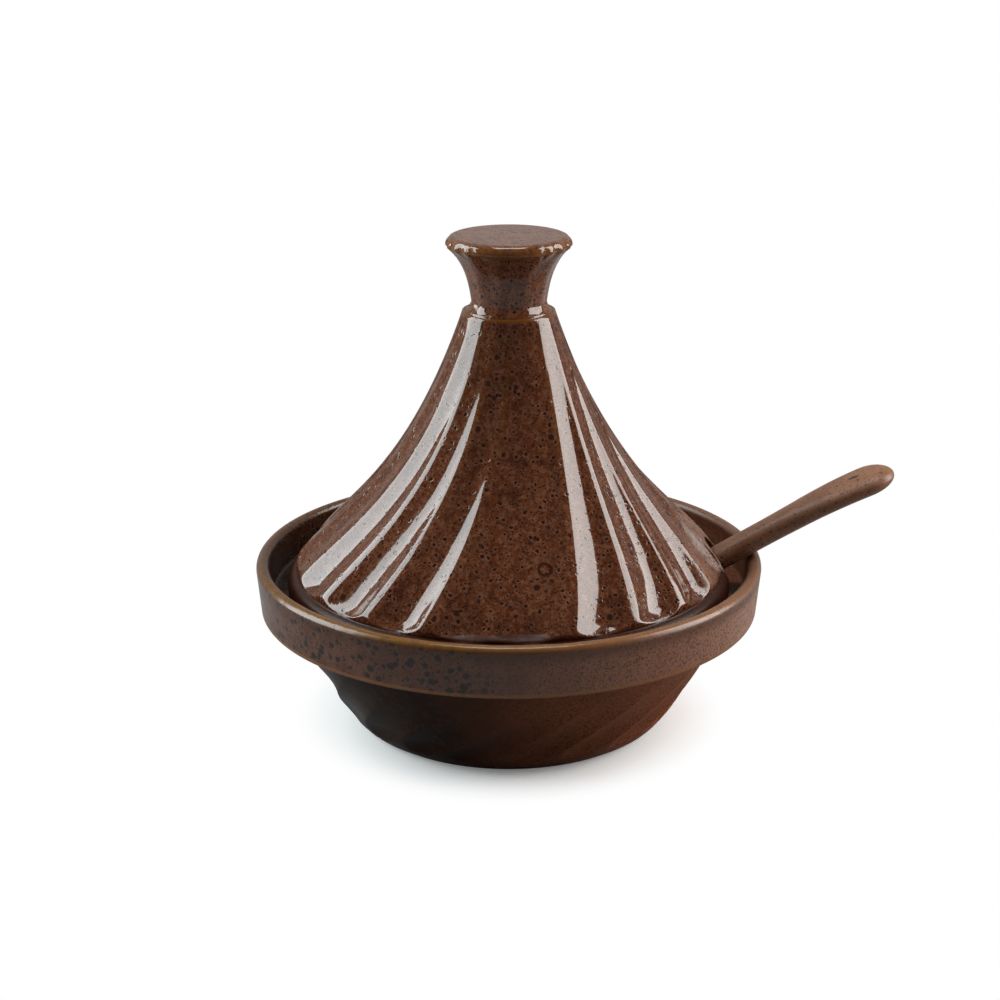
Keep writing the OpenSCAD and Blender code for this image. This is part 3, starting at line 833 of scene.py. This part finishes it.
def satin_reactive_glaze():
    """Satin reactive glaze, dipped and fired on stoneware.

    A drier glaze that breaks into blue-black blotches on one side of the dish and dries to a
    sandy speckle on the other, painted paler there as the sheen of the right lamp. Only the lip
    and the corners, where it is thin, are shiny.
    """
    material, tree, place = new_material("satin_reactive_glaze_on_stoneware")
    split = add(tree, SPLIT, [place])
    right, up = split.outputs["X"], split.outputs["Z"]
    uneven = jostled(tree, place)
    drift = add(tree, NOISE, {"Vector": place, "Scale": 1 / 22})
    sideways = add(tree, MATH, (drift, 40, right), operation="MULTIPLY_ADD")
    sand_and_sheen = add(tree, STEP, (sideways, -8, 60), interpolation_type="SMOOTHSTEP")
    right_sheen = add(tree, STEP, (sideways, 55, 88), interpolation_type="SMOOTHSTEP")
    blotched = add(tree, STEP, (sideways, 24, 6), interpolation_type="SMOOTHSTEP")
    below = add(tree, STEP, (up, BAND_BOTTOM + 0.4, BAND_BOTTOM - 0.8))
    out = add(tree, VECTOR, {0: place, 1: (1, 1, 0)}, operation="MULTIPLY")
    out = add(tree, VECTOR, [out], operation="LENGTH").outputs["Value"]
    inside = add(tree, STEP, (out, INNER_R + 0.6, INNER_R - 0.4))

    # Body: brown, paler to the right with sandy speckle, where the paler colour is a painted sheen
    # of the right lamp; redder on the bowl and darker inside
    colour = tint(tree, linear("#553224"), "#684535", clouds(tree, place, 8, 0.4, 0.65), 0.7)
    colour = tint(tree, colour, "#8b5c45", sand_and_sheen, 0.85)
    # Painted sheen: a still paler colour at the far right edge, where the right lamp glances off
    colour = tint(tree, colour, "#a07c68", right_sheen, 0.8)
    colour = tint(tree, colour, "#643a28", below, 0.85)
    below_right = add(tree, MATH, (below, sand_and_sheen), operation="MULTIPLY")
    colour = tint(tree, colour, "#42271c", below_right, 0.6)
    # Painted shade inside the dish under the lid, and painted light on the inside's right, where
    # the right lamp reaches
    colour = tint(tree, colour, "#22140e", inside, 0.95)
    inner_right = add(tree, MATH, (inside, sand_and_sheen), operation="MULTIPLY")
    colour = tint(tree, colour, "#8c5236", inner_right, 0.9)
    run_off = add(tree, STEP, (up, DISH_H - 5, DISH_H - 2.4))
    colour = tint(tree, colour, "#43230f", run_off, 0.6)

    # Speckle 0.8 mm apart and a fine grain, strongest where the glaze is sandy
    speck = specks(tree, uneven, 0.8, 0.3, 0.1)
    speckled = add(tree, STEP, (sand_and_sheen, 0, 1, 0.5, 0.9))
    speckled = add(tree, MATH, (speck, speckled), operation="MULTIPLY")
    colour = tint(tree, colour, "#2f1a12", speckled, 0.8)
    grain = add(tree, MATH, (clouds(tree, place, 0.5, 0.5, 0.62), sand_and_sheen), operation="MULTIPLY")
    colour = tint(tree, colour, "#3d241a", grain, 0.75)

    # Blotches 1 to 2 mm across, and dots among them, hardly any of them on the bowl
    bare = add(tree, MATH, (below, 0.8), operation="MULTIPLY")
    blotched = add(tree, MATH, (blotched, bare), operation="SUBTRACT", use_clamp=True)
    halo = specks(tree, uneven, 2.4, 1.45, 0.35, 0.9)
    blotch = specks(tree, uneven, 2.4, 1.12, 0.4, 0.9)
    dot = specks(tree, uneven, 1.2, 0.4, 0.12)
    halo = add(tree, MATH, (halo, blotched), operation="MULTIPLY")
    blotch = add(tree, MATH, (blotch, blotched), operation="MULTIPLY")
    dot = add(tree, MATH, (dot, blotched), operation="MULTIPLY")
    colour = tint(tree, colour, "#735849", halo, 0.35)
    colour = tint(tree, colour, "#191112", blotch, 0.88)
    colour = tint(tree, colour, "#1d1515", dot, 0.75)

    # Amber along the band's corner and where the glaze is thin
    corner = line_at(tree, up, BAND_BOTTOM + 0.8, 0.2, 0.6)
    colour = tint(tree, colour, "#8a5628", corner, 0.7)
    thin = thin_glaze(tree, place, 2.5)
    # The amber is paler on the right, where it also carries the painted sheen
    amber = tint(tree, linear("#6b4511"), "#7d5234", sand_and_sheen, 0.8)
    colour = add(tree, MIX, {"Factor": thin, "A": colour, "B": amber}, data_type="RGBA")

    # Relief, and a skin that is duller where it is sandy and inside the dish
    height = add(tree, NOISE, {"Vector": place, "Scale": 1 / 5, "Detail": 2})
    height = add(tree, MATH, (height, 0.1), operation="MULTIPLY")
    height = add(tree, MATH, (speckled, -0.01, height), operation="MULTIPLY_ADD")
    height = add(tree, MATH, (blotch, -0.02, height), operation="MULTIPLY_ADD")
    roughness = add(tree, STEP, (sand_and_sheen, 0, 1, 0.22, 0.42))
    roughness = add(tree, MIX, {"Factor": thin, "A": roughness, "B": 0.25})
    ior = add(tree, STEP, (below, 0, 1, 1.5, 1.4))
    ior = add(tree, MATH, (inside, -0.22, ior), operation="MULTIPLY_ADD")
    glaze_skin(tree, colour, height, roughness, ior)
    return material


def spoon_glaze():
    """Thin satin glaze on the stoneware spoon.

    Only one coat, so it is a lighter brown, closely speckled and soft to the eye, and it
    turns olive-yellow on the handle's end.
    """
    material, tree, place = new_material("thin_satin_glaze_on_stoneware")
    colour = tint(tree, linear("#80543a"), "#96694e", clouds(tree, place, 7, 0.4, 0.65), 0.7)
    speck = specks(tree, place, 0.8, 0.3, 0.1, 0.9)
    dot = specks(tree, place, 1.8, 0.42, 0.1, 0.6)
    colour = tint(tree, colour, "#432a1f", speck, 0.7)
    colour = tint(tree, colour, "#2b1812", dot, 0.75)
    from_pit = add(tree, VECTOR, (place, SPOON_PIT), operation="SUBTRACT")
    from_pit = add(tree, VECTOR, {0: from_pit, 1: (1, 2, 1)}, operation="MULTIPLY")
    from_pit = add(tree, VECTOR, [from_pit], operation="LENGTH").outputs["Value"]
    pit = add(tree, STEP, (from_pit, 1.8, 1.1), interpolation_type="SMOOTHSTEP")
    colour = tint(tree, colour, "#24130e", pit, 0.85)
    colour = tint(tree, colour, "#77591f", thin_glaze(tree, place, 2.0), 0.8)
    height = add(tree, NOISE, {"Vector": place, "Scale": 1 / 4, "Detail": 2})
    height = add(tree, MATH, (height, 0.06), operation="MULTIPLY")
    height = add(tree, MATH, (speck, -0.01, height), operation="MULTIPLY_ADD")
    height = add(tree, MATH, (pit, -0.15, height), operation="MULTIPLY_ADD")
    glaze_skin(tree, colour, height, 0.4, 1.5)
    return material


# ---------------------------------------------------------------- studio


def make_camera():
    """The camera, half a metre in front of the pot and looking down on it."""
    data = bpy.data.cameras.new("camera")
    data.lens = 73.94
    data.sensor_width = 36
    data.shift_x = -0.0088
    data.shift_y = 0.002
    camera = bpy.data.objects.new("camera", data)
    camera.location = (0, -0.5, 0.2245)
    camera.rotation_euler = (math.radians(90 - 18.49), 0, 0)
    bpy.context.scene.collection.objects.link(camera)
    bpy.context.scene.camera = camera


def softbox(name, azimuth, out, height, tip, lean, size, power, colour):
    """A soft lamp, azimuth degrees round the pot from the camera's side and out metres off.

    tip is 90 where it stands upright and 0 where it hangs face down; lean rolls it sideways.
    """
    data = bpy.data.lights.new(name, "AREA")
    data.shape = "RECTANGLE"
    data.size, data.size_y = size
    data.energy = power
    data.color = linear(colour)[:3]
    lamp = bpy.data.objects.new(name, data)
    turn = math.radians(azimuth)
    lamp.location = (out * math.sin(turn), -out * math.cos(turn), height)
    facing = Matrix.Rotation(turn, 3, "Z") @ Matrix.Rotation(math.radians(tip), 3, "X")
    lamp.rotation_euler = (facing @ Matrix.Rotation(math.radians(lean), 3, "Z")).to_euler()
    bpy.context.scene.collection.objects.link(lamp)


def make_floor():
    """A table top that keeps the pot's shadow, is white to the camera and bounces little light."""
    half = 4000
    verts = np.array([(-half, -half, 0), (half, -half, 0), (half, half, 0), (-half, half, 0)])
    floor = add_object("floor", verts, [(0, 1, 2, 3)])
    material, tree, place = new_material("matt_table_top")
    away = add(tree, VECTOR, [place], operation="LENGTH").outputs["Value"]
    far = add(tree, STEP, (away, 39, 58), interpolation_type="SMOOTHSTEP")
    lit = add(tree, "ShaderNodeBsdfDiffuse", [linear("#ffffff")])
    glow = add(tree, "ShaderNodeEmission", [linear("#ffffff"), 0.15])
    top = add(tree, "ShaderNodeAddShader", [lit, glow])
    plain = add(tree, "ShaderNodeEmission", [linear("#ffffff"), 1.0])
    grey = add(tree, "ShaderNodeBsdfDiffuse", [linear("#8c8c8c")])
    white = add(tree, "ShaderNodeMixShader", (far, top, plain))
    camera_ray = add(tree, "ShaderNodeLightPath").outputs["Is Camera Ray"]
    seen = add(tree, "ShaderNodeMixShader", (camera_ray, grey, white))
    add(tree, "ShaderNodeOutputMaterial", [seen])
    floor.data.materials.append(material)


def make_world():
    """A pale room behind the pot and a dark one on the camera's side; white to the camera."""
    world = bpy.data.worlds.new("studio")
    bpy.context.scene.world = world
    world.use_nodes = True
    tree = world.node_tree
    tree.nodes.clear()
    direction = add(tree, "ShaderNodeTexCoord").outputs["Generated"]
    behind = add(tree, SPLIT, [direction]).outputs["Y"]
    strength = add(tree, STEP, (behind, 0.1, 0.7, 0.08, 0.4), interpolation_type="SMOOTHSTEP")
    room = add(tree, "ShaderNodeBackground", (linear("#fff8f2"), strength))
    white = add(tree, "ShaderNodeBackground", (linear("#ffffff"), 1.0))
    camera_ray = add(tree, "ShaderNodeLightPath").outputs["Is Camera Ray"]
    seen = add(tree, "ShaderNodeMixShader", (camera_ray, room, white))
    add(tree, "ShaderNodeOutputWorld", [seen])


def finish_piece(piece, material, body):
    """Gives a piece its material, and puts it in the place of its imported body."""
    piece.data.materials.append(material)
    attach(piece, body)
    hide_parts(body)


make_camera()
make_world()
make_floor()
upright = {"out": 0.9, "height": 0.7, "tip": 90}
hanging = {"out": 0.1, "height": 1.1, "tip": 0}
softbox("left_softbox", -100, **upright, lean=18, size=(0.72, 1.15), power=19.5, colour="#f3fdff")
softbox("right_softbox", 97, **upright, lean=-13, size=(0.6, 1.15), power=17, colour="#fffcf8")
softbox("overhead_softbox", 180, **hanging, lean=0, size=(0.5, 0.3), power=3.4, colour="#ffffff")

finish_piece(make_dish(), satin_reactive_glaze(), "dish")
finish_piece(make_lid(), glossy_reactive_glaze(), "lid")
finish_piece(make_spoon(), spoon_glaze(), "spoon")

bpy.context.scene.view_settings.view_transform = "Standard"
